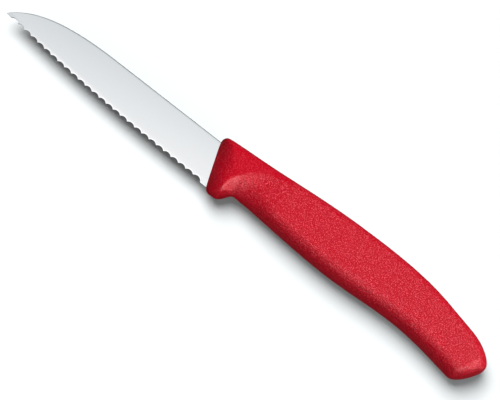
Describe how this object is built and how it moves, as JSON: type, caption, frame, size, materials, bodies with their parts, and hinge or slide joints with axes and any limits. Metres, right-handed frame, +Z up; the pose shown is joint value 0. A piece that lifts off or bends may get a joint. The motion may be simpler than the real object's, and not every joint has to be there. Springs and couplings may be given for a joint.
{
  "type": "serrated paring knife",
  "caption": "Small kitchen knife lying on its side: pale stamped steel blade with a scalloped edge and a red moulded handle with a finger guard.",
  "frame": {"origin": "under the middle of the knife's box, on the surface that the handle's lower flat rests on", "axes": "+X from the tip to the butt, +Y from the cutting edge to the spine, +Z up through the flats of blade and handle"},
  "size_m": [0.1806, 0.0208, 0.0115],
  "materials": {
    "blade_steel": "stamped stainless steel, finely ground and polished, bright ground teeth",
    "handle_plastic": "moulded red polypropylene, fine spark-eroded grain on the grip, smooth front"
  },
  "bodies": {
    "root": {"blade": "blade_steel", "handle": "handle_plastic"}
  },
  "joints": []
}
